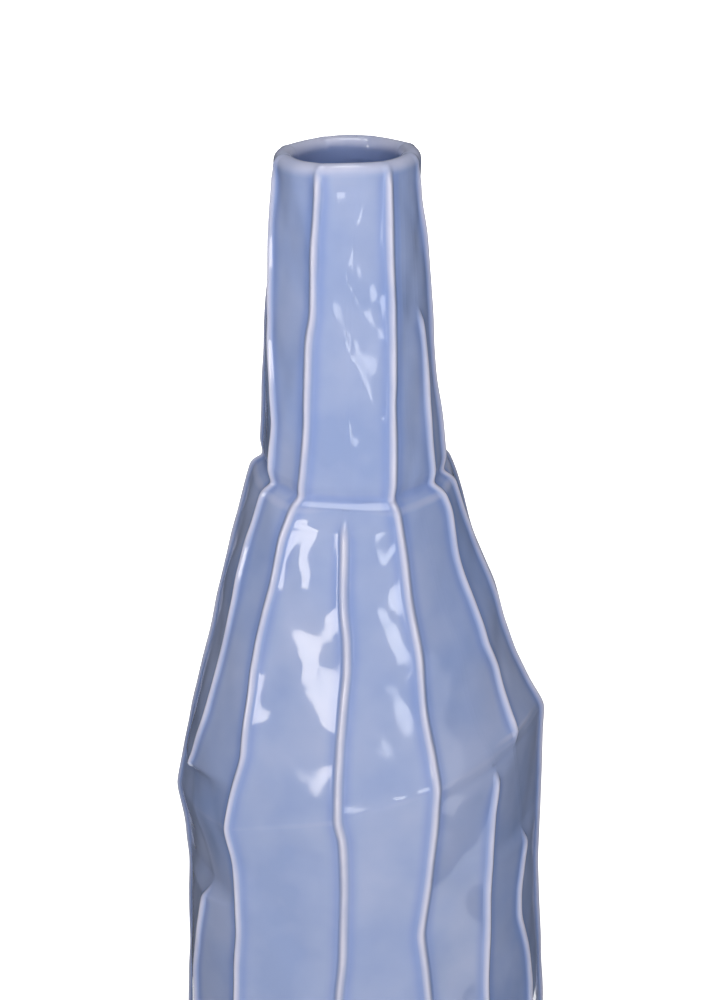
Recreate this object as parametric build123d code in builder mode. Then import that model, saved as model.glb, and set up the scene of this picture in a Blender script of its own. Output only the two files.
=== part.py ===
from build123d import *

import os
from math import cos, radians, sin, tan
from typing import NamedTuple

# A hand-built bud vase of glazed, fired clay. It stands on a foot ring and a floor slab, and has three
# faceted tiers: body, shoulder and neck. Each tier has raised ribs along its corners, and a rolled lip
# closes the neck. The tiers meet on slanting joints, as hand-built tiers do.
#
# +Z is up, the front looks along -Y, and the origin is on the ground in the middle of the foot.
# A bearing goes round the vase in degrees, from 0 at the front towards +X. Lengths are in millimetres.

# foot and floor
foot_height = 3.5
foot_inset = 1.5
foot_width = 7.0
foot_rounding = 1.2
floor_thickness = 6.5
floor_bevel = 2.5

# heights of the tiers, along the centre line
body_height = 124.0
shoulder_height = 76.0
neck_height = 74.5
lip_height = 5.5

# outline radii at the corners of the facets
base_radius = 43.0
belly_radius = 46.0
neck_base_radius = 23.4
neck_tuck = 0.2
shoulder_ledge = 1.5

# clay thickness at the corners, and the rolled lip
body_wall_thickness = 7.0
shoulder_wall_thickness = 6.5
mouth_radius = 13.6
lip_width = 4.4

# how far each joint leans off centre, and how it slants: up towards +X, and down towards the front
belly_lean = -1.1
belly_side_slant = 15.5
belly_front_slant = 0.0
seam_lean = -2.9
seam_side_slant = 0.0
seam_front_slant = 9.0
rim_lean = -4.0
rim_side_slant = 1.2
rim_front_slant = 0.0

# facets and ribs
rib_width = 3.0
rib_rise = 1.1
rib_tip = 0.25
rib_bed = 0.02

# Each row is a level of a tier: how far up the tier it is, and how far its radius has gone from the
# radius at the bottom of the tier to the one at the top. A rib starts and ends on one of the levels.
body_shape = [
    (0.0, 0.0), (0.01, 0.03), (0.04, 0.13), (0.24, 0.7), (0.45, 0.85), (0.63, 0.7), (0.8, 0.55), (0.9, 0.75),
    (0.97, 0.93), (0.99, 0.98), (1.0, 1.0),
]
shoulder_shape = [
    (0.0, 0.0), (0.01, 0.01), (0.05, 0.04), (0.28, 0.26), (0.47, 0.45), (0.67, 0.65), (0.84, 0.83),
    (0.95, 0.95), (0.98, 0.98), (1.0, 1.0),
]
neck_shape = [
    (0.0, 0.0), (0.02, 0.02), (0.06, 0.06), (0.32, 0.32), (0.5, 0.49), (0.6, 0.58), (0.7, 0.67), (0.85, 0.86),
    (0.96, 0.97), (0.98, 0.99), (1.0, 1.0),
]

# Each row is a corner: its bearing at the bottom and at the top of its tier, and the first and last of the
# tier's levels that its rib reaches. The top level is -1, and a corner with two zeros has no rib.
body_corners = [
    (-70, -60, 1, 6), (-43, -45, 1, -2), (-8, -7, 1, -2), (21, 22, 1, -2), (42, 46, 1, -2), (69, 68, 1, 7),
    (88, 89, 1, -2), (113, 112, 1, -2), (140, 141, 1, -2), (168, 167, 1, -2), (197, 199, 1, -2),
    (227, 229, 1, -2), (259, 260, 1, -2),
]
shoulder_corners = [
    (-77, -61, 1, -2), (-45, -33, 1, -2), (-7, -3, 1, -2), (22, 25, 1, -2), (55, 58, 1, -2), (84, 80, 1, -2),
    (112, 110, 1, -2), (140, 139, 1, -2), (168, 166, 1, -2), (198, 196, 1, -2), (228, 226, 1, -2),
    (258, 261, 1, -2),
]
neck_corners = [
    (-61, -75, 1, -2), (-32, -23, 1, -2), (-3, 5, 0, 0), (26, 33, 1, -2), (57, 60, 1, 5), (82, 76, 1, -2),
    (119, 114, 1, -2), (140, 136, 0, 0), (161, 158, 1, -2), (184, 180, 0, 0), (208, 202, 1, -2),
    (230, 224, 0, 0), (252, 245, 1, -2), (275, 266, 0, 0),
]


class Level(NamedTuple):
    """One slanting cut through the vase."""

    height: float
    lean: float
    side_slant: float
    front_slant: float
    radius: float
    bore: float

    def plane(self):
        """The plane of the cut, with its origin on the centre line."""
        side, front = tan(radians(self.side_slant)), tan(radians(self.front_slant))
        return Plane(origin=(self.lean, 0, self.height), x_dir=(1, 0, side), z_dir=(-side, -front, 1))

    def point(self, radius, bearing):
        """The point of the cut that is straight above the given radius and bearing."""
        x, y = radius * sin(radians(bearing)), -radius * cos(radians(bearing))
        rise = x * tan(radians(self.side_slant)) + y * tan(radians(self.front_slant))
        return Vector(self.lean + x, y, self.height + rise)


def level_between(bottom, top, share, ease):
    """The level a share of the way up a tier, whose radii have gone by ease from bottom to top."""
    steps = (share, share, share, share, ease, ease)
    return Level(*(low + (high - low) * step for low, high, step in zip(bottom, top, steps)))


def corner_points(level, corners, share):
    """The corners of a tier at one level, in the level's own plane."""
    plane = level.plane()
    bearings = [low + (high - low) * share for low, high, _, _ in corners]
    return [plane.to_local_coords(level.point(level.radius, bearing)) for bearing in bearings]


def wall_face(level, corners, share):
    """The faceted outline of a tier at one level."""
    with BuildSketch(level.plane()) as outline:
        with BuildLine():
            Polyline(*corner_points(level, corners, share), close=True)
        make_face()
    return outline.sketch.face()


def bore_face(level):
    """The round hollow of a tier at one level."""
    with BuildSketch(level.plane()) as hollow:
        Circle(level.bore)
    return hollow.sketch.face()


def rib_face(level, corners, share, index, size):
    """The section of a rib at one level: its back lies on two sides of the wall, its front is round."""
    points = corner_points(level, corners, share)
    outward = points[index].normalized()
    corner = points[index] + outward * rib_bed
    start = corner + (points[index - 1] - points[index]).normalized() * rib_width / 2 * size
    end = corner + (points[(index + 1) % len(points)] - points[index]).normalized() * rib_width / 2 * size
    with BuildSketch(level.plane()) as section:
        with BuildLine():
            Polyline(start, corner, end)
            ThreePointArc(end, corner + outward * rib_rise * size, start)
        make_face()
    return section.sketch.face()


def tier_wall(name, bottom, top, shape, corners):
    """The wall of one tier, with a corner under each rib."""
    levels = [level_between(bottom, top, share, ease) for share, ease in shape]
    with BuildPart() as wall:
        loft(sections=[wall_face(level, corners, row[0]) for level, row in zip(levels, shape)], ruled=True)
        loft(sections=[bore_face(level) for level in levels], ruled=True, mode=Mode.SUBTRACT)
    wall.part.label = name
    export_step(wall.part, f"parts/{name}.step")


def tier_ribs(name, bottom, top, shape, corners):
    """The raised ribs on the corners of a tier, smoothed away at both ends."""
    ribbed = [index for index, (_, _, first, last) in enumerate(corners) if first != last]
    for number, index in enumerate(ribbed, start=1):
        first, last = corners[index][2:]
        rows = shape[first:last + 1]
        sections = []
        for share, ease in rows:
            size = rib_tip if (share, ease) in (rows[0], rows[-1]) else 1.0
            level = level_between(bottom, top, share, ease)
            sections.append(rib_face(level, corners, share, index, size))
        with BuildPart() as rib:
            loft(sections=sections, ruled=True)
        rib.part.label = f"{name}_{number:02d}"
        export_step(rib.part, f"parts/{name}_{number:02d}.step")


os.makedirs("parts", exist_ok=True)

# the joints between the tiers
floor_height = foot_height + floor_thickness
belly_height = floor_height + body_height
seam_height = belly_height + shoulder_height
rim_height = seam_height + neck_height
belly_bore = belly_radius - body_wall_thickness
seam_bore = neck_base_radius - shoulder_wall_thickness
neck_top_radius = mouth_radius + lip_width - neck_tuck
shoulder_top_radius = neck_base_radius + shoulder_ledge
belly_slants = (belly_side_slant, belly_front_slant)
seam_slants = (seam_side_slant, seam_front_slant)
rim_slants = (rim_side_slant, rim_front_slant)
under_floor_radius = base_radius - floor_bevel
under_floor = Level(foot_height, 0.0, 0.0, 0.0, under_floor_radius, 0.0)
on_floor = Level(floor_height, 0.0, 0.0, 0.0, base_radius, base_radius - body_wall_thickness)
belly = Level(belly_height, belly_lean, *belly_slants, belly_radius, belly_bore)
shoulder_top = Level(seam_height, seam_lean, *seam_slants, shoulder_top_radius, seam_bore)
neck_base = Level(seam_height, seam_lean, *seam_slants, neck_base_radius, seam_bore)
rim = Level(rim_height, rim_lean, *rim_slants, neck_top_radius, mouth_radius)

# the three tiers and their ribs
tier_wall("body_wall", on_floor, belly, body_shape, body_corners)
tier_ribs("body_rib", on_floor, belly, body_shape, body_corners)
tier_wall("shoulder_wall", belly, shoulder_top, shoulder_shape, shoulder_corners)
tier_ribs("shoulder_rib", belly, shoulder_top, shoulder_shape, shoulder_corners)
tier_wall("neck_wall", neck_base, rim, neck_shape, neck_corners)
tier_ribs("neck_rib", neck_base, rim, neck_shape, neck_corners)

# the rolled lip, a ring with a fully rounded top on the slanting end of the neck
lip_round = lip_width / 2
lip_outer_radius = mouth_radius + lip_width
rim_plane = rim.plane()
lip_profile_plane = Plane(origin=rim_plane.origin, x_dir=rim_plane.x_dir, z_dir=-rim_plane.y_dir)
with BuildPart() as lip_ring:
    with BuildSketch(lip_profile_plane):
        with BuildLine():
            lip_inside = Line((mouth_radius, lip_height - lip_round), (mouth_radius, 0))
            lip_seat = Line(lip_inside @ 1, (lip_outer_radius, 0))
            lip_outside = Line(lip_seat @ 1, (lip_outer_radius, lip_height - lip_round))
            ThreePointArc(lip_outside @ 1, (mouth_radius + lip_round, lip_height), lip_inside @ 0)
        make_face()
    revolve(axis=Axis(rim_plane.origin, rim_plane.z_dir))
lip_ring.part.label = "lip_ring"
export_step(lip_ring.part, "parts/lip_ring.step")

# the floor slab, under the whole body wall
with BuildPart() as floor_slab:
    loft(sections=[wall_face(level, body_corners, 0.0) for level in (under_floor, on_floor)], ruled=True)
floor_slab.part.label = "floor_slab"
export_step(floor_slab.part, "parts/floor_slab.step")

# the foot ring
foot_radius = under_floor_radius - foot_inset
with BuildPart() as foot_ring:
    with BuildSketch():
        Circle(foot_radius)
        Circle(foot_radius - foot_width, mode=Mode.SUBTRACT)
    extrude(amount=foot_height)
    fillet(foot_ring.edges().group_by(Axis.Z)[0], radius=foot_rounding)
foot_ring.part.label = "foot_ring"
export_step(foot_ring.part, "parts/foot_ring.step")
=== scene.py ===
"""The looks of the hand-built bud vase.

The vase wears one continuous skin of glaze. The skin is worked out here as a grid of points, from the foot
up over the lip and down inside. It is then cut into the pieces of the CAD model: the floor slab, three
walls, their ribs and the lip. The foot ring is bare clay, and is made by itself. Shapes are worked out in
millimetres and made in metres.

A bearing goes round the vase in degrees, from 0 at the front (-Y) towards +X. A row of the grid is a
slanting cut through the vase, and is named by its height on the centre line.
"""
from typing import NamedTuple

import bpy
import numpy as np
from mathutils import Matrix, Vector


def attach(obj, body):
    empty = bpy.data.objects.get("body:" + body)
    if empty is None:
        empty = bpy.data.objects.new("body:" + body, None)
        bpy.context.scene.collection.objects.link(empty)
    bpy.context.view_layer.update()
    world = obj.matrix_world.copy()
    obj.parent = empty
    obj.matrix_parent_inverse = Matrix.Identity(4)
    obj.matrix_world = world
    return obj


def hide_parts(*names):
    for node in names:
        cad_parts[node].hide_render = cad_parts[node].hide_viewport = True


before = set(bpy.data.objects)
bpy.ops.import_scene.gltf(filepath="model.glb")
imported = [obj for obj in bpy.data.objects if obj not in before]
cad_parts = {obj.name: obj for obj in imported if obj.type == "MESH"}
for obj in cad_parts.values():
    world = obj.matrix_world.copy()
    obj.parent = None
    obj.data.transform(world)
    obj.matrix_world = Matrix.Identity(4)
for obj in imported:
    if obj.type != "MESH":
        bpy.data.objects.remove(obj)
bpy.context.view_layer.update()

MM = 0.001

# Heights of the joints between the pieces, on the centre line.
FOOT_TOP = 3.5
FLOOR_TOP = 10.0
BELLY = 134.0
SEAM = 210.0
RIM = 284.5
LIP_TOP = 290.6
LIP_RADIUS = 18.2
MOUTH_RADIUS = 13.3

# How the vase's centre line leans, and how its rows slant, at heights on the centre line.
LEAN = [
    (0, 0.0), (60, 0.2), (85, -0.3), (105, -0.6), (122, -0.6), (134, -1.2), (143, -2.2), (155, -2.7),
    (170, -1.7), (185, -2.9), (198, -2.6), (210, -2.7), (222, -3.3), (232, -4.0), (290, -4.0),
]
SIDE_SLANT = [(40, 0.0), (85, 3.0), (105, 7.0), (134, 15.5), (155, 11.5), (170, 8.0), (198, 2.0), (210, 0.0),
              (260, 0.0), (284, 1.2)]
FRONT_SLANT = [(140, 0.0), (185, 4.5), (210, 9.0), (230, 5.0), (265, 0.0)]

# Radius of the outline at its corners, without the ribs.
PROFILE = [
    (3.5, 40.5), (10, 43.0), (25, 45.0), (60, 45.7), (85, 45.2), (105, 44.8), (122, 45.6), (134, 46.6),
    (143, 43.7), (155, 40.6), (170, 36.4), (185, 32.2), (198, 28.3), (205, 26.5), (207.6, 25.7),
    (208.8, 24.9), (209.5, 23.7), (210.0, 22.7), (211.0, 22.5), (212.4, 22.9), (214, 23.2), (222, 22.7),
    (232, 21.9), (247, 21.0), (263, 20.0), (275, 19.1), (284.5, 18.6),
]
# How far each way the profile is smoothed: less at the seams, which stay crisp.
PROFILE_ROUNDING = [(0, 3.0), (20, 8.0), (120, 8.0), (134, 3.0), (150, 8.0), (198, 6.0), (205, 0.9),
                    (214, 0.9), (222, 6.0)]
# Radius of the hollow.
BORE = [(11, 36.0), (134, 39.0), (210, 16.9), (284.5, 13.6)]


class Line(NamedTuple):
    """A line up the vase: its (height, bearing) keys, and the (low, high) heights where it is a rib."""

    route: list
    ribs: list


LINES = [
    Line([(20, -70), (80, -70), (91, -67), (105, -61.5), (120, -72), (130, -79), (138, -72), (148, -67.5),
          (165, -67), (180, -64), (194, -65.5), (205, -63), (214, -59.5), (225, -56), (235, -60), (245, -67),
          (262, -70), (274, -76.5), (285, -75)],
         [(12, 106), (130, 291)]),
    Line([(20, -44.5), (78, -44.8), (88, -44.5), (97, -43.2), (110, -43.5), (119, -44), (127, -45.3),
          (134, -44.5), (144, -41), (150, -41.5), (158, -42.8), (165, -44.5), (172, -43.8), (178, -42),
          (186, -39.5), (198, -39.2), (205, -35.5), (213, -31.5), (228, -27.5), (248, -26.5), (254, -24),
          (272, -25), (284, -23)],
         [(12, 292)]),
    Line([(20, -9), (85, -7.5), (95, -6), (113, -5.3), (128, -5.3), (133, -6.4), (143, -5.2), (155, -4),
          (163, -4), (176, -3), (188, -4.2), (203, -4.6), (215, -2), (285, 4)],
         [(12, 205)]),
    Line([(20, 22), (83, 21.4), (92, 20.5), (101, 19.3), (110, 21), (124, 23), (136, 24.2), (148, 25.8),
          (165, 25.4), (185, 26), (198, 26), (208, 25.5), (218, 28), (236, 32), (262, 33), (290, 33.5)],
         [(12, 292)]),
    Line([(20, 42.5), (80, 43.8), (98, 44.5), (110, 45.5), (120, 46.3), (128, 46.5), (134, 48), (139, 48.8),
          (150, 46), (205, 42), (285, 46)],
         [(12, 141)]),
    Line([(20, 69), (76, 69.5), (87, 67), (96, 63), (104, 63.5), (113, 67.5), (122, 68), (135, 62),
          (143, 59.5), (154, 62), (163, 62.5), (170, 58.5), (180, 59.5), (192, 59), (202, 63), (209, 60),
          (220, 61), (234, 65), (245, 63.5), (254, 60), (285, 56)],
         [(12, 120), (143, 255)]),
    Line([(20, 88), (80, 87), (105, 84), (125, 87), (145, 86), (160, 83), (173, 80), (190, 82), (205, 79),
          (222, 82), (245, 82), (262, 80), (275, 75), (285, 70)],
         [(12, 290)]),
    Line([(20, 113), (70, 111), (110, 114), (140, 112), (175, 109), (205, 111), (215, 116), (250, 118),
          (285, 113)],
         [(12, 290)]),
    Line([(20, 140), (60, 142), (100, 139), (140, 141), (170, 142), (205, 139), (285, 136)],
         [(12, 205)]),
    Line([(20, 168), (75, 166), (120, 169), (150, 167), (180, 169), (205, 165), (240, 162), (285, 158)],
         [(12, 290)]),
    Line([(20, 197), (60, 199), (105, 196), (140, 199), (175, 196), (205, 198), (215, 205), (250, 207),
          (285, 202)],
         [(12, 290)]),
    Line([(20, 227), (80, 229), (115, 226), (150, 229), (205, 226), (285, 224)],
         [(12, 205)]),
    Line([(20, 259), (60, 261), (100, 258), (118, 262), (140, 259), (160, 264), (180, 262), (205, 259),
          (220, 254), (250, 250), (285, 245)],
         [(12, 290)]),
]

# Columns of the grid. A zone is the band of columns on each line, and a panel is what lies between two zones.
ZONE_COLUMNS = 17
PANEL_COLUMNS = 19
# Half the width of a zone, the share of it that is left where there is no rib, and how closely its columns
# crowd towards its edges, up to 1.
ZONE_REACH = 2.2
ZONE_SHRUNK = 0.3
ZONE_CROWDING = 0.8
CORNER_ROUNDING = 0.7

# A rib: half its width, its height, the length over which it fades out, and the groove for it in the wall.
RIB_REACH = 1.7
RIB_RISE = 0.85
RIB_FADE = 7.0
TRENCH = 0.15
# The back of a rib stands at most this far off the groove, and its two ends are sunk this deep.
RIB_GAP = 0.03
RIB_END_DEPTH = 0.02

# How full a panel is: 0 is flat, 1 is as round as the vase. Between these two heights, it fills out to suit
# the lip.
PANEL_FULLNESS = 0.35
LIP_FULLNESS = 0.95
FILLING_HEIGHTS = (268, 287)
# Below this height every corner is full, rib or not.
FULL_CORNERS_BELOW = 22.0

# Where glaze pools and shade is painted beside a rib, from its middle, and how far that reaches.
POOL_AND_SHADE_PLACE = 2.0
POOL_AND_SHADE_REACH = 1.3
# How strongly a bend of the skin, in 1/mm, marks the glaze, and over how many rows each way it is measured.
BEND_MARK = 1.6
BEND_ROWS = 3
# The ribs' marks fade over the first rows of the lip. From a share of the lip's rows on, painted shade
# deepens the colour towards the mouth, and the whole inside is painted fully in the deep shade colour.
LIP_FADE_ROWS = 18
LIP_SHADE_START = 0.55

# The roll of the lip: its depth against half its width, and a power that makes it slightly square.
LIP_DEPTH = 1.1
LIP_POWER = 0.95

# Unevenness of the wall. Waves: count round the vase, length up it, phase and size in millimetres.
WAVES = [(5, 47.0, 5.1, 0.16), (7, 38.0, 4.0, 0.14), (9, 31.0, 0.3, 0.11), (13, 23.0, 1.7, 0.08),
         (17, 19.0, 2.2, 0.05), (23, 13.0, 0.9, 0.03)]
# The unevenness fades in from the foot to this height above the floor slab.
UNEVEN_FADE = 8
# Dents and bulges: height, bearing, reach and size in millimetres.
DENTS = [
    (113, -33, 6, -0.35), (105, -27, 6, -0.45), (97, -20, 6, -0.45), (89, -13, 6, -0.35),
    (120, 36, 8, -0.4), (92, 33, 7, -0.4), (110, 8, 9, 0.35), (180, 40, 8, -0.4), (165, 48, 7, 0.35),
    (262, -12, 3, 0.28), (244, -14, 3, 0.3), (219, -12, 3.5, 0.3),
    (147, -30, 9, -0.6), (139, -6, 7, 0.6), (188, -26, 6, 0.4), (178, -24, 4.5, -0.45), (201, -33, 4, -0.3),
    (194, -27, 4, 0.35), (188, -22, 4, 0.3),
]

# The foot ring: its outer radius, its width, the rounding of its edges, and how many points go round it.
FOOT_RADIUS = 39.0
FOOT_WIDTH = 7.0
FOOT_ROUNDING = 1.2
FOOT_SEGMENTS = 160
# Each disc of the floor slab is quads from its edge in to this share of the edge's x, y and z, and then one
# polygon.
DISC_CORE = (0.02, 0.02, 1)

# Colours, linear.
GLAZE_BLUE = (0.268, 0.35, 0.608)
GLAZE_LAVENDER = (0.378, 0.44, 0.665)
# The deep blue of pooled glaze, also used as painted shade beside ribs, in hollows and inside the mouth.
GLAZE_POOLED_AND_SHADE = (0.19, 0.28, 0.60)
GLAZE_BROKEN = (0.64, 0.64, 0.78)
CLAY = (0.50, 0.44, 0.38)
CLAY_STAINED = (0.42, 0.37, 0.32)
CLAY_GROG = (0.30, 0.22, 0.16)

# The studio, in metres. This is the world's strength as a light. Where it is seen or reflected, it is 1.
AMBIENT = 0.075
# The floor's glow: its level near the vase and far from it, and the distances that these hold at.
GLOW_LEVELS = (0.85, 1.0)
GLOW_DISTANCES = (0.15, 0.9)
# A dark card stands round the sides and back. It is open at the front, to this bearing on each side.
CARD_OPENING = 62.0
CARD_RADIUS = 0.16
CARD_HEIGHT = 0.7
CARD_LEVEL = 0.05

# The camera looks down from the front at a target near the vase's axis. Sensor and lens are in millimetres.
CAMERA_ELEVATION = 18.9
CAMERA_DISTANCE = 1.125
CAMERA_TARGET = (-0.0006, 0, 0.2004)
CAMERA_SENSOR = 36.0
CAMERA_LENS = 162.0


class Lamp(NamedTuple):
    """A rectangular soft lamp, aimed at a centre from a bearing and an elevation. Lengths are in metres.

    It lights a surface that faces it at its level, where 1 shows a colour as it is written. A lamp that isn't
    mirrored shows in no reflection, and one that doesn't light is seen only in reflections.
    """

    name: str
    bearing: float
    elevation: float
    distance: float
    size: tuple
    level: float
    centre: tuple = (0, 0, 0.22)
    spread: float = 180
    colour: tuple = (1, 1, 1)
    lights: bool = True
    mirrored: bool = True


LAMPS = [
    Lamp("window", -45, 13, 1.2, (0.32, 0.42), 0.27, colour=(1.0, 0.92, 0.82), lights=False),
    Lamp("front", 1.5, 2, 1.3, (1.3, 0.6), 0.127, centre=(0, 0, 0.42), spread=60, mirrored=False),
    Lamp("upper", 0, 38, 1.3, (0.8, 0.5), 0.19, mirrored=False),
    Lamp("side", -42, -3, 1.1, (0.5, 0.3), 0.016, centre=(0, 0, 0.31), spread=60, mirrored=False),
    Lamp("pane", 13, -7, 0.45, (0.05, 0.04), 0.017, centre=(0, 0, 0.24)),
    Lamp("skylight", 24, 13, 1.0, (0.08, 0.09), 0.016, centre=(0, 0, 0.16)),
    Lamp("top", -20, 80, 1.2, (0.5, 0.5), 0.26),
    Lamp("back", 175, 24, 1.5, (1.2, 1.2), 0.7, mirrored=False),
]


def rounded(keys, x, reach):
    """Straight runs between (place, value) keys, smoothed over reach each way."""
    places, values = np.array(keys, float).T
    steps = np.linspace(-1, 1, 9)
    weights = 1 - np.abs(steps) * 0.999
    curve = sum(w * np.interp(x + s * reach, places, values) for s, w in zip(steps, weights))
    return curve / weights.sum()


def step(low, high, x):
    """Goes smoothly from 0 at low to 1 at high."""
    t = np.clip((x - low) / (high - low), 0, 1)
    return t * t * (3 - 2 * t)


def row_heights(low, high, pitch=0.8, fine_pitch=0.22, fine_reach=3.0):
    """Heights of rows from one joint to the next, closer together near both."""
    heights = [low]
    while heights[-1] < high - 1e-6:
        near = min(heights[-1] - low, high - heights[-1])
        gap = fine_pitch + (pitch - fine_pitch) * step(0.5, 1.0, near / fine_reach * 0.5)
        heights.append(heights[-1] + float(gap))
    heights = np.array(heights)
    return low + (heights - low) * (high - low) / (heights[-1] - low)


def row_frame(heights):
    """Lean and slopes of the rows at these heights."""
    lean = rounded(LEAN, heights, 6.0)
    side = np.tan(np.radians(rounded(SIDE_SLANT, heights, 6.0)))
    front = np.tan(np.radians(rounded(FRONT_SLANT, heights, 6.0)))
    return lean, side, front


def lift(heights, across, along):
    """Points of the rows above flat places: across is from the centre line, along is towards the back."""
    lean, side, front = (value[:, None] for value in row_frame(heights))
    up = heights[:, None] + across * side + along * front
    return np.stack([lean + across, along, up], axis=-1)


def line_facts(heights):
    """Bearing and rib strength of every line at every row, and the radius of every row."""
    _, side, front = row_frame(heights)
    radius = rounded(PROFILE, heights, rounded(PROFILE_ROUNDING, heights, 1.0))
    bearings, strengths = [], []
    for line in LINES:
        middle = np.radians(np.mean([bearing for _, bearing in line.route]))
        level = heights + radius * (np.sin(middle) * side - np.cos(middle) * front)
        bearings.append(rounded(line.route, level, 3.0))
        strength = np.zeros_like(heights)
        for low, high in line.ribs:
            strength += step(low, low + RIB_FADE, level) * (1 - step(high - RIB_FADE, high, level))
        strengths.append(strength)
    return np.array(bearings).T, np.array(strengths).T, radius


def corner_radii(heights, bearings, strengths, radius):
    """Radius of every corner: a line that isn't a rib lies on the side between its neighbours."""
    count = bearings.shape[1]
    radii = np.repeat(radius[:, None], count, axis=1)
    for index in range(count):
        before, after = (index - 1) % count, (index + 1) % count
        low = np.radians(bearings[:, before] - (360 if before > index else 0))
        high = np.radians(bearings[:, after] + (360 if after < index else 0))
        here = np.radians(bearings[:, index])
        side = radius * np.cos((high - low) / 2) / np.cos(here - (low + high) / 2)
        side = side + (radius - side) * PANEL_FULLNESS
        kept = np.maximum(strengths[:, index] * 1.5, heights < FULL_CORNERS_BELOW)
        radii[:, index] = side + (radius - side) * np.clip(kept, 0, 1)
    return radii


def pooled_and_shaded(distance):
    """How much pooled glaze and painted shade lie at a distance from the middle of a rib."""
    return np.exp(-(((distance - POOL_AND_SHADE_PLACE) / POOL_AND_SHADE_REACH) ** 2))


def unevenness(levels, angles):
    """How far the hand-pinched wall stands out from its plain shape, in millimetres."""
    turn = angles + 0.16 * np.sin(levels / 21.0 + 0.4)
    rise = levels + 5.0 * np.sin(2 * angles + 1.0) + 3.0 * np.sin(5 * angles + levels / 34.0)
    out = sum(size * np.sin(count * turn + phase) * np.sin(rise * 2 * np.pi / length + count * phase)
              for count, length, phase, size in WAVES)
    for level, bearing, reach, size in DENTS:
        off = (angles - np.radians(bearing) + np.pi) % (2 * np.pi) - np.pi
        radius = np.interp(level, *np.array(PROFILE, float).T)
        out = out + size * np.exp(-((off * radius) ** 2 + (levels - level) ** 2) / reach**2)
    return out


def outer_skin(heights):
    """The outside as grids: glazed points, points under the ribs, rib strengths, and crest marks and marks of
    pooled glaze and painted shade.
    """
    bearings, strengths, radius = line_facts(heights)
    radii = corner_radii(heights, bearings, strengths, radius)
    angles = np.radians(bearings)
    corners = np.stack([radii * np.sin(angles), -radii * np.cos(angles)], axis=-1)
    before = np.roll(corners, 1, axis=1) - corners
    after = np.roll(corners, -1, axis=1) - corners
    before /= np.linalg.norm(before, axis=-1, keepdims=True)
    after /= np.linalg.norm(after, axis=-1, keepdims=True)
    outward = np.stack([np.sin(angles), -np.cos(angles)], axis=-1)

    spread = np.linspace(-1, 1, ZONE_COLUMNS)
    offsets = np.sin(spread * np.pi / 2 * ZONE_CROWDING) / np.sin(np.pi / 2 * ZONE_CROWDING)
    reach = ZONE_REACH * (ZONE_SHRUNK + (1 - ZONE_SHRUNK) * strengths[..., None])
    distance = reach * offsets
    soft = np.sqrt(distance**2 + CORNER_ROUNDING**2)
    spill = 0.5 * (soft - np.abs(distance)) * (1 - np.abs(offsets) ** 3)
    forward = np.maximum(distance, 0) + spill
    backward = np.maximum(-distance, 0) + spill
    bare = (corners[:, :, None] + forward[..., None] * after[:, :, None]
            + backward[..., None] * before[:, :, None])
    bead = np.where(np.abs(distance) < RIB_REACH, 0.5 + 0.5 * np.cos(np.pi * distance / RIB_REACH), 0)
    bead = bead * strengths[..., None] * RIB_RISE
    trench = TRENCH * strengths[..., None] * np.clip(8 * (1 - np.abs(offsets)), 0, 1)
    zone = bare + bead[..., None] * outward[:, :, None]
    bare = bare - trench[..., None] * outward[:, :, None]

    share = np.linspace(0, 1, PANEL_COLUMNS + 2)[1:-1]
    start, end = zone[:, :, -1], np.roll(zone[:, :, 0], -1, axis=1)
    panel = start[:, :, None] + (end - start)[:, :, None] * share[:, None]
    width = np.linalg.norm(end - start, axis=-1)
    normal = np.stack([(end - start)[..., 1], -(end - start)[..., 0]], axis=-1) / width[..., None]
    sagitta = width**2 / (8 * radius[:, None])
    filled = step(*FILLING_HEIGHTS, heights)[:, None, None]
    fullness = PANEL_FULLNESS + (LIP_FULLNESS - PANEL_FULLNESS) * filled
    swell = fullness * sagitta[..., None] * (4 * share * (1 - share)) ** 1.5
    panel = panel + swell[..., None] * normal[:, :, None]

    from_start, from_end = share * width[..., None], (1 - share) * width[..., None]
    next_strengths = np.roll(strengths, -1, axis=1)
    # Pooled glaze and painted shade beside each rib, on its zone and on the panels next to it.
    beside = (strengths[..., None] * pooled_and_shaded(from_start + ZONE_REACH)
              + next_strengths[..., None] * pooled_and_shaded(from_end + ZONE_REACH))
    flank = strengths[..., None] * pooled_and_shaded(np.abs(distance))
    pools_and_shade = np.concatenate([flank, beside], axis=2)
    crests = np.concatenate([bead / RIB_RISE, 0 * beside], axis=2)

    rows = len(heights)
    glazed = np.concatenate([zone, panel], axis=2).reshape(rows, -1, 2)
    under = np.concatenate([bare, panel], axis=2).reshape(rows, -1, 2)
    place = np.arctan2(glazed[..., 0], -glazed[..., 1])
    _, side, front = (value[:, None] for value in row_frame(heights))
    level = heights[:, None] + glazed[..., 0] * side + glazed[..., 1] * front
    out = unevenness(level, place) * step(FOOT_TOP, FLOOR_TOP + UNEVEN_FADE, heights)[:, None]
    shift = out[..., None] * np.stack([np.sin(place), -np.cos(place)], axis=-1)
    glazed, under = glazed + shift, under + shift
    return glazed, under, strengths, (crests.reshape(rows, -1), pools_and_shade.reshape(rows, -1))


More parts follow.
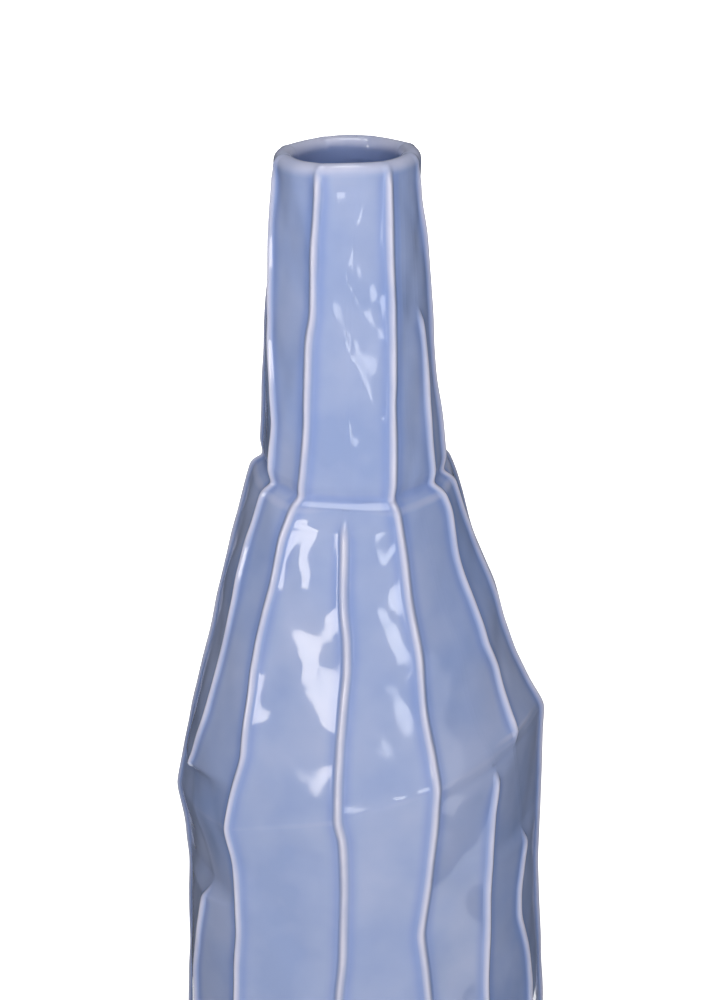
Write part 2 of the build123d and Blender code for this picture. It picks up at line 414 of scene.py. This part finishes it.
def lip_skin(edge):
    """The roll of the lip as rows of flat places and heights, from the outside of the neck to the inside."""
    angles = np.arctan2(edge[:, 0], -edge[:, 1])
    edge_radius = np.linalg.norm(edge, axis=1)
    inner = MOUTH_RADIUS + 0.25 * np.cos(2 * angles - 0.6) + 0.12 * np.cos(5 * angles + 1.0)
    outer = edge_radius + (LIP_RADIUS - edge_radius) * 0.5
    top = LIP_TOP + 0.7 * np.cos(angles) + 0.2 * np.cos(angles - 3.0) + 0.15 * np.cos(4 * angles)
    half = (outer - inner) / 2
    waist = top - half * LIP_DEPTH
    rows = []
    for share in np.linspace(0, 1, 8)[1:-1]:
        rows.append((edge_radius + (outer - edge_radius) * step(0, 1, share), RIM + (waist - RIM) * share))
    for turn in np.linspace(0, np.pi, 27):
        across, up = np.cos(turn), np.sin(turn)
        rows.append((inner + half + half * np.sign(across) * abs(across) ** LIP_POWER,
                     waist + (top - waist) * up ** LIP_POWER))
    for share in np.linspace(0, 1, 7)[1:]:
        rows.append((inner, waist + (RIM - waist) * share))
    radii = np.array([radius for radius, _ in rows])
    up = np.array([height for _, height in rows])
    return radii * np.sin(angles), -radii * np.cos(angles), up


def bore_skin(heights, angles):
    """The inside of the vase below the lip, as flat places."""
    radius = rounded(BORE, heights, 6.0)[:, None]
    rise = heights[:, None]
    wave = 0.25 * np.sin(3 * angles + rise / 15) + 0.15 * np.sin(5 * angles - rise / 11)
    radius = radius + wave * step(RIM, RIM - 10, heights)[:, None]
    return radius * np.sin(angles), -radius * np.cos(angles)


def surface_normals(points):
    """Normals of a grid of points that closes round the vase."""
    across = np.roll(points, -1, axis=1) - np.roll(points, 1, axis=1)
    up = np.gradient(points, axis=0)
    normals = np.cross(across, up)
    return normals / np.maximum(np.linalg.norm(normals, axis=-1, keepdims=True), 1e-9)


def bend(before, here, after, normals):
    """How far a line through three points bends away from the normal, per millimetre."""
    back, ahead = here - before, after - here
    back_length = np.linalg.norm(back, axis=-1, keepdims=True)
    ahead_length = np.linalg.norm(ahead, axis=-1, keepdims=True)
    turn = 2 * (ahead / ahead_length - back / back_length) / (ahead_length + back_length)
    return -np.sum(turn * normals, axis=-1)


# ---------------------------------------------------------------------------------------------------------
# the whole skin: rows up the outside, over the lip and down the inside
# ---------------------------------------------------------------------------------------------------------
TIERS = {"floor_slab": (FOOT_TOP, FLOOR_TOP), "body": (FLOOR_TOP, BELLY), "shoulder": (BELLY, SEAM),
         "neck": (SEAM, RIM)}
# Rows down the inside of each tier.
INNER_ROWS = 18

outer_heights = np.concatenate([row_heights(low, high)[:-1] for low, high in TIERS.values()] + [[RIM]])
outside, bare_outside, strengths, marks = outer_skin(outer_heights)
glazed = lift(outer_heights, outside[..., 0], outside[..., 1])
bare = lift(outer_heights, bare_outside[..., 0], bare_outside[..., 1])

rim_lean, rim_side, rim_front = (float(value[0]) for value in row_frame(np.array([RIM])))
lip_x, lip_y, lip_z = lip_skin(outside[-1])
lip = np.stack([rim_lean + lip_x, lip_y, lip_z + lip_x * rim_side + lip_y * rim_front], axis=-1)

inner_heights = np.concatenate(
    [np.linspace(high, low, INNER_ROWS, endpoint=False) for low, high in reversed(list(TIERS.values())[1:])]
    + [[FLOOR_TOP]]
)[1:]
nearest = np.abs(outer_heights[:, None] - inner_heights).argmin(axis=0)
inner_angles = np.arctan2(outside[nearest, :, 0], -outside[nearest, :, 1])
inner_x, inner_y = bore_skin(inner_heights, inner_angles)
inside = lift(inner_heights, inner_x, inner_y)

skin = np.concatenate([glazed, lip, inside])
normals = surface_normals(skin)
curve = bend(np.roll(skin, BEND_ROWS, axis=0), skin, np.roll(skin, -BEND_ROWS, axis=0), normals)
curve[:BEND_ROWS] = 0
curve[-BEND_ROWS:] = 0
shifts = range(-BEND_ROWS, BEND_ROWS + 1)
curve = sum(np.roll(curve, shift, axis=0) for shift in shifts) / len(shifts)
# Convex bends are marked pale where the glaze breaks. Hollows are marked deep, as pooled glaze and painted
# shade.
crest = np.clip(curve * BEND_MARK, 0, 1)
pool_and_shade = np.clip(-curve * BEND_MARK, 0, 1)
fading = 1 - step(0, LIP_FADE_ROWS, np.arange(len(lip)))[:, None]
for grid, mark in ((crest, marks[0]), (pool_and_shade, marks[1])):
    marked = np.concatenate([mark, mark[-1] * fading])
    grid[:len(marked)] = np.maximum(grid[:len(marked)], marked)

LIP_START = len(outer_heights)
INSIDE_START = LIP_START + len(lip)
# Painted shade: the inner part of the lip deepens towards the mouth, and the whole inside takes the full deep
# colour.
mouth_shade = step(LIP_SHADE_START * len(lip), len(lip), np.arange(len(lip)))[:, None]
pool_and_shade[LIP_START:INSIDE_START] = np.maximum(pool_and_shade[LIP_START:INSIDE_START], mouth_shade)
pool_and_shade[INSIDE_START:] = 1


def outer_row(height):
    """The number of the outside row at a joint's height."""
    return int(np.abs(outer_heights - height).argmin())


def inner_row(height):
    """The number of the skin's inside row at a joint's height: the rim's is the last row of the lip."""
    if height == RIM:
        return INSIDE_START - 1
    return INSIDE_START + int(np.abs(inner_heights - height).argmin())


# ---------------------------------------------------------------------------------------------------------
# meshes
# ---------------------------------------------------------------------------------------------------------
def grid_faces(rows, columns, close_rows=False):
    """Quads between the points of a grid whose columns go round. They face outwards when its rows go up."""
    row = np.arange(rows if close_rows else rows - 1)[:, None]
    column = np.arange(columns)[None, :]
    next_row, next_column = (row + 1) % rows, (column + 1) % columns
    corners = (row * columns + column, row * columns + next_column, next_row * columns + next_column,
               next_row * columns + column)
    quads = [np.broadcast_to(corner, (row.size, column.size)) for corner in corners]
    return np.stack(quads, -1).reshape(-1, 4)


def make_piece(name, node, slot, material, points, faces, facing=None, crests=None, pools_and_shade=None):
    """A mesh that stands for a CAD node, with smooth shading and the two marks that its glaze reads."""
    mesh = bpy.data.meshes.new(name)
    mesh.from_pydata((points.reshape(-1, 3) * MM).tolist(), [], [list(map(int, face)) for face in faces])
    mesh.update()
    mesh.shade_smooth()
    if facing is not None:
        mesh.normals_split_custom_set_from_vertices(facing.reshape(-1, 3).tolist())
    for label, values in (("crest", crests), ("pool_and_shade", pools_and_shade)):
        if values is not None:
            mesh.attributes.new(label, "FLOAT", "POINT").data.foreach_set(
                "value", values.reshape(-1).astype(np.float32)
            )
    mesh.materials.append(material)
    piece = bpy.data.objects.new(name, mesh)
    bpy.context.scene.collection.objects.link(piece)
    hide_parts(node)
    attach(piece, "root")


def make_wall(tier, material):
    """A tier's wall: bare under its ribs outside, round inside, and closed at both joints."""
    low, high = TIERS[tier]
    outer = slice(outer_row(low), outer_row(high) + 1)
    inner = slice(inner_row(high), inner_row(low) + 1)
    points = np.concatenate([bare[outer], skin[inner]])
    pick = [np.concatenate([grid[outer], grid[inner]]) for grid in (normals, crest, pool_and_shade)]
    faces = grid_faces(len(points), points.shape[1], close_rows=True)
    make_piece(f"{tier}_wall_glazed", f"{tier}_wall", "wall_glaze", material, points, faces, *pick)


def rib_run(rows, columns):
    """One unbroken length of rib: the band of skin over it, closed by a back that lies just off the wall."""
    front = skin[rows, columns]
    out = normals[rows, columns]
    gap = np.minimum(RIB_GAP, 0.5 * np.linalg.norm(front - bare[rows, columns], axis=-1))
    gap[0] = gap[-1] = -RIB_END_DEPTH
    back = bare[rows, columns] + out * gap[..., None]
    turned = slice(-2, 0, -1)
    points = np.concatenate([front, back[:, turned]], axis=1)
    facing = np.concatenate([out, -out[:, turned]], axis=1)
    marked = [np.concatenate([grid[rows, columns], grid[rows, columns][:, turned]], axis=1)
              for grid in (crest, pool_and_shade)]
    count = points.shape[1]
    faces = grid_faces(len(points), count).tolist()
    top = (len(points) - 1) * count
    for column in range(ZONE_COLUMNS - 1):
        cap = list(dict.fromkeys([column, column + 1, -(column + 1) % count, -column % count]))
        faces.append(cap[::-1])
        faces.append([top + corner for corner in cap])
    return [part.reshape(len(points) * count, -1) for part in (points, facing, *marked)], faces


def make_ribs(tier, material):
    """The ribs of a tier. A rib that fades out and starts again is one piece in two lengths."""
    low, high = TIERS[tier]
    first, last = outer_row(low), outer_row(high)
    number = 0
    for line in range(len(LINES)):
        raised = np.flatnonzero(strengths[first:last + 1, line] > 0) + first
        if not len(raised):
            continue
        number += 1
        start = line * (ZONE_COLUMNS + PANEL_COLUMNS)
        columns = slice(start, start + ZONE_COLUMNS)
        parts, faces, count = [], [], 0
        for run in np.split(raised, np.flatnonzero(np.diff(raised) > 1) + 1):
            rows = slice(max(first, run[0] - 1), min(last, run[-1] + 1) + 1)
            if rows.stop - rows.start < 3:
                continue
            part, part_faces = rib_run(rows, columns)
            parts.append(part)
            faces += [[count + corner for corner in face] for face in part_faces]
            count += len(part[0])
        name = f"{tier}_rib_{number:02d}"
        joined = [np.concatenate(values) for values in zip(*parts)]
        make_piece(f"{name}_glazed", name, "rib_glaze", material, joined[0], faces, *joined[1:])


def make_lip(material):
    """The rolled lip, closed underneath."""
    rows = slice(outer_row(RIM), INSIDE_START)
    points = skin[rows]
    faces = grid_faces(len(points), points.shape[1], close_rows=True)
    make_piece("lip_ring_glazed", "lip_ring", "wall_glaze", material, points, faces, normals[rows],
               crest[rows], pool_and_shade[rows])


def make_floor_slab(material):
    """The floor slab: the bottom edge of the skin, closed by flat discs above and below."""
    rows = slice(outer_row(FOOT_TOP), outer_row(FLOOR_TOP) + 1)
    side = skin[rows]
    bottom, top = (side[end] * DISC_CORE for end in (0, -1))
    points = np.concatenate([bottom[None], side[:1], side, side[-1:], top[None]])
    marked = [np.concatenate([grid[:1] * 0, grid[:1] * 0, grid, grid[-1:], grid[-1:]])
              for grid in (crest[rows], pool_and_shade[rows])]
    down = np.zeros_like(side[:1]) + (0, 0, -1)
    up = np.zeros_like(side[:1]) + (0, 0, 1)
    facing = np.concatenate([down, down, normals[rows], up, up])
    columns = points.shape[1]
    faces = grid_faces(len(points), columns).tolist()
    faces.append(list(range(columns))[::-1])
    faces.append([(len(points) - 1) * columns + column for column in range(columns)])
    make_piece("floor_slab_glazed", "floor_slab", "wall_glaze", material, points, faces, facing, *marked)


def make_foot_ring(material):
    """The foot ring that the vase stands on, a ring with rounded edges, a little uneven by hand."""
    corner = FOOT_ROUNDING
    quarter = np.linspace(0, np.pi / 2, 6)
    outer, inner = FOOT_RADIUS, FOOT_RADIUS - FOOT_WIDTH
    across = np.concatenate([[inner], inner + corner - corner * np.cos(quarter),
                             outer - corner + corner * np.sin(quarter), [outer]])
    up = np.concatenate([[FOOT_TOP], corner - corner * np.sin(quarter), corner - corner * np.cos(quarter),
                         [FOOT_TOP]])
    angles = np.linspace(0, 2 * np.pi, FOOT_SEGMENTS, endpoint=False)
    wave = 0.15 * np.sin(3 * angles) + 0.1 * np.sin(7 * angles + 1)
    radius = across[:, None] + wave
    height = np.repeat(up[:, None], FOOT_SEGMENTS, 1)
    points = np.stack([radius * np.sin(angles), -radius * np.cos(angles), height], -1)
    faces = grid_faces(len(points), FOOT_SEGMENTS, close_rows=True)
    make_piece("foot_ring_clay", "foot_ring", "bare_clay", material, points, faces)


# ---------------------------------------------------------------------------------------------------------
# materials
# ---------------------------------------------------------------------------------------------------------
def new_material(name):
    """A material, the two functions that add and link its nodes, and its shader."""
    material = bpy.data.materials.new(name)
    material.use_nodes = True
    tree = material.node_tree
    shader = tree.nodes["Principled BSDF"]

    def add(kind, **settings):
        """A new node: a setting goes to the input of that name, or else to the node itself."""
        node = tree.nodes.new(kind)
        for key, value in settings.items():
            if key in node.inputs:
                node.inputs[key].default_value = value
            else:
                setattr(node, key, value)
        return node

    return material, add, tree.links.new, shader


def mix_colours(add, link, factor, first, second):
    """The mix of two colours, as a socket. Each of the two is a colour or a socket."""
    node = add("ShaderNodeMix", data_type="RGBA")
    link(factor, node.inputs["Factor"])
    for socket, colour in ((node.inputs[6], first), (node.inputs[7], second)):
        if isinstance(colour, bpy.types.NodeSocket):
            link(colour, socket)
        else:
            socket.default_value = (*colour, 1)
    return node.outputs[2]


def scaled(add, link, socket, low, high, to_low=0.0, to_high=1.0):
    """A socket's value, moved from one range to another and clamped."""
    ranges = {"From Min": low, "From Max": high, "To Min": to_low, "To Max": to_high}
    node = add("ShaderNodeMapRange", **ranges)
    link(socket, node.inputs["Value"])
    return node.outputs["Result"]


def glaze_material():
    """Glossy periwinkle glaze: pale where it breaks over a crest, deep where it pools and where shade is
    painted into hollows and the mouth, faintly clouded.
    """
    material, add, link, shader = new_material("periwinkle_glaze")
    place = add("ShaderNodeTexCoord").outputs["Object"]
    crest_mark = add("ShaderNodeAttribute", attribute_name="crest").outputs["Fac"]
    pool_and_shade_mark = add("ShaderNodeAttribute", attribute_name="pool_and_shade").outputs["Fac"]
    clouds = add("ShaderNodeTexNoise", Scale=38.0, Detail=3.0, Roughness=0.5)
    ripples = add("ShaderNodeTexNoise", Scale=90.0, Detail=2.0, Roughness=0.45)
    link(place, clouds.inputs["Vector"])
    link(place, ripples.inputs["Vector"])
    cloud = scaled(add, link, clouds.outputs["Fac"], 0.35, 0.65)
    colour = mix_colours(add, link, cloud, GLAZE_BLUE, GLAZE_LAVENDER)
    # The deep colour is pooled glaze and painted shade.
    colour = mix_colours(add, link, scaled(add, link, pool_and_shade_mark, 0.0, 1.0, 0.0, 0.55), colour, GLAZE_POOLED_AND_SHADE)
    breaking = add("ShaderNodeMath", operation="MULTIPLY")
    link(scaled(add, link, crest_mark, 0.15, 0.95), breaking.inputs[0])
    link(scaled(add, link, ripples.outputs["Fac"], 0.3, 0.6, 0.7, 1.0), breaking.inputs[1])
    colour = mix_colours(add, link, breaking.outputs[0], colour, GLAZE_BROKEN)
    link(colour, shader.inputs["Base Color"])
    link(scaled(add, link, ripples.outputs["Fac"], 0.3, 0.7, 0.05, 0.10), shader.inputs["Roughness"])
    bump = add("ShaderNodeBump", Strength=0.25, Distance=0.0004)
    link(ripples.outputs["Fac"], bump.inputs["Height"])
    link(bump.outputs["Normal"], shader.inputs["Normal"])
    shader.inputs["IOR"].default_value = 1.5
    return material


def clay_material():
    """Bare fired clay: matt, with fine grog."""
    material, add, link, shader = new_material("bare_clay")
    place = add("ShaderNodeTexCoord").outputs["Object"]
    grain = add("ShaderNodeTexNoise", Scale=900.0, Detail=4.0, Roughness=0.6)
    stain = add("ShaderNodeTexNoise", Scale=60.0, Detail=2.0)
    link(place, grain.inputs["Vector"])
    link(place, stain.inputs["Vector"])
    colour = mix_colours(add, link, scaled(add, link, stain.outputs["Fac"], 0.35, 0.65), CLAY, CLAY_STAINED)
    speck = scaled(add, link, grain.outputs["Fac"], 0.6, 0.7, 0.0, 0.5)
    colour = mix_colours(add, link, speck, colour, CLAY_GROG)
    link(colour, shader.inputs["Base Color"])
    link(scaled(add, link, grain.outputs["Fac"], 0.3, 0.7, 0.7, 0.9), shader.inputs["Roughness"])
    bump = add("ShaderNodeBump", Strength=0.5, Distance=0.0003)
    link(grain.outputs["Fac"], bump.inputs["Height"])
    link(bump.outputs["Normal"], shader.inputs["Normal"])
    return material


glaze = glaze_material()
make_foot_ring(clay_material())
make_floor_slab(glaze)
for tier_name in ("body", "shoulder", "neck"):
    make_wall(tier_name, glaze)
    make_ribs(tier_name, glaze)
make_lip(glaze)


# ---------------------------------------------------------------------------------------------------------
# studio: floor, world, lamps and camera
# ---------------------------------------------------------------------------------------------------------
def white_to_the_eye(tree, link, shaded, strength, shader_output):
    """Adds a white glow that only the camera and mirror-like reflections see. Its strength is a socket."""
    path = tree.nodes.new("ShaderNodeLightPath")
    glow = tree.nodes.new("ShaderNodeEmission")
    link(strength, glow.inputs["Strength"])
    seen = tree.nodes.new("ShaderNodeMath")
    seen.operation = "MAXIMUM"
    link(path.outputs["Is Camera Ray"], seen.inputs[0])
    link(path.outputs["Is Glossy Ray"], seen.inputs[1])
    none = tree.nodes.new("ShaderNodeEmission")
    none.inputs["Strength"].default_value = 0.0
    choice = tree.nodes.new("ShaderNodeMixShader")
    link(seen.outputs[0], choice.inputs[0])
    link(none.outputs[0], choice.inputs[1])
    link(glow.outputs[0], choice.inputs[2])
    both = tree.nodes.new("ShaderNodeAddShader")
    link(shaded, both.inputs[0])
    link(choice.outputs[0], both.inputs[1])
    link(both.outputs[0], shader_output)


def make_floor():
    """A plain white floor that keeps the vase's shadow."""
    bpy.ops.mesh.primitive_plane_add(size=6.0)
    floor = bpy.context.object
    floor.name = "studio_floor"
    material = bpy.data.materials.new("studio_white")
    material.use_nodes = True
    tree = material.node_tree
    shader = tree.nodes["Principled BSDF"]
    shader.inputs["Base Color"].default_value = (0.8, 0.8, 0.8, 1)
    shader.inputs["Roughness"].default_value = 0.9
    shader.inputs["Specular IOR Level"].default_value = 0.0
    place = tree.nodes.new("ShaderNodeTexCoord")
    away = tree.nodes.new("ShaderNodeVectorMath")
    away.operation = "LENGTH"
    tree.links.new(place.outputs["Object"], away.inputs[0])
    strength = tree.nodes.new("ShaderNodeMapRange")
    for way, limits in (("From", GLOW_DISTANCES), ("To", GLOW_LEVELS)):
        strength.inputs[f"{way} Min"].default_value = limits[0]
        strength.inputs[f"{way} Max"].default_value = limits[1]
    tree.links.new(away.outputs["Value"], strength.inputs["Value"])
    white_to_the_eye(tree, tree.links.new, shader.outputs[0], strength.outputs["Result"],
                     tree.nodes["Material Output"].inputs["Surface"])
    floor.data.materials.append(material)


def make_world():
    """White to the camera and in reflections, and a soft even light otherwise."""
    world = bpy.data.worlds.new("studio")
    bpy.context.scene.world = world
    world.use_nodes = True
    tree = world.node_tree
    background = tree.nodes["Background"]
    background.inputs["Color"].default_value = (1, 1, 1, 1)
    path = tree.nodes.new("ShaderNodeLightPath")
    seen = tree.nodes.new("ShaderNodeMath")
    seen.operation = "MAXIMUM"
    also = tree.nodes.new("ShaderNodeMath")
    also.operation = "MAXIMUM"
    level = tree.nodes.new("ShaderNodeMapRange")
    level.inputs["To Min"].default_value = AMBIENT
    level.inputs["To Max"].default_value = 1.0
    tree.links.new(path.outputs["Is Camera Ray"], seen.inputs[0])
    tree.links.new(path.outputs["Is Glossy Ray"], seen.inputs[1])
    tree.links.new(seen.outputs[0], also.inputs[0])
    tree.links.new(path.outputs["Is Transmission Ray"], also.inputs[1])
    tree.links.new(also.outputs[0], level.inputs["Value"])
    tree.links.new(level.outputs["Result"], background.inputs["Strength"])


def place_round(bearing, elevation, distance, centre):
    """The place at a bearing and elevation from a centre, at a distance in metres."""
    turn, rise = np.radians(bearing), np.radians(elevation)
    way = Vector((np.sin(turn) * np.cos(rise), -np.cos(turn) * np.cos(rise), np.sin(rise)))
    return Vector(centre) + way * distance


def make_lamp(facts):
    """The lamp that these facts describe."""
    light = bpy.data.lights.new(facts.name, "AREA")
    light.shape = "RECTANGLE"
    light.size, light.size_y = facts.size
    light.energy = facts.level * (np.pi * facts.distance) ** 2
    light.spread = np.radians(facts.spread)
    light.color = facts.colour
    lamp = bpy.data.objects.new(facts.name, light)
    bpy.context.scene.collection.objects.link(lamp)
    lamp.visible_camera = False
    lamp.visible_diffuse = facts.lights
    lamp.visible_glossy = facts.mirrored
    lamp.location = place_round(facts.bearing, facts.elevation, facts.distance, facts.centre)
    lamp.rotation_euler = (Vector(facts.centre) - lamp.location).to_track_quat("-Z", "Y").to_euler()


def make_card():
    """A dark card that stands round the sides and back, as a studio flag: only reflections see it."""
    bearings = np.radians(np.linspace(CARD_OPENING, 360 - CARD_OPENING, 49))
    ring = np.stack([CARD_RADIUS * np.sin(bearings), -CARD_RADIUS * np.cos(bearings)], axis=-1)
    places = [(x, y, height) for height in (0.001, CARD_HEIGHT) for x, y in ring.tolist()]
    count = len(ring)
    mesh = bpy.data.meshes.new("studio_card")
    mesh.from_pydata(places, [], [(i, i + 1, count + i + 1, count + i) for i in range(count - 1)])
    material = bpy.data.materials.new("studio_dark")
    material.use_nodes = True
    tree = material.node_tree
    tree.nodes.clear()
    glow = tree.nodes.new("ShaderNodeEmission")
    glow.inputs["Color"].default_value = (0.9, 0.95, 1.0, 1)
    glow.inputs["Strength"].default_value = CARD_LEVEL
    output = tree.nodes.new("ShaderNodeOutputMaterial")
    tree.links.new(glow.outputs[0], output.inputs["Surface"])
    mesh.materials.append(material)
    card = bpy.data.objects.new("studio_card", mesh)
    bpy.context.scene.collection.objects.link(card)
    card.visible_camera = card.visible_diffuse = card.visible_shadow = card.visible_transmission = False


def make_camera():
    """The camera looks down at the shoulder from the front."""
    camera = bpy.data.objects.new("camera", bpy.data.cameras.new("camera"))
    bpy.context.scene.collection.objects.link(camera)
    bpy.context.scene.camera = camera
    camera.data.sensor_width = CAMERA_SENSOR
    camera.data.lens = CAMERA_LENS
    camera.location = place_round(0, CAMERA_ELEVATION, CAMERA_DISTANCE, CAMERA_TARGET)
    camera.rotation_euler = (np.radians(90 - CAMERA_ELEVATION), 0, 0)


make_floor()
make_world()
make_card()
for lamp_facts in LAMPS:
    make_lamp(lamp_facts)
make_camera()
bpy.context.scene.view_settings.view_transform = "Standard"
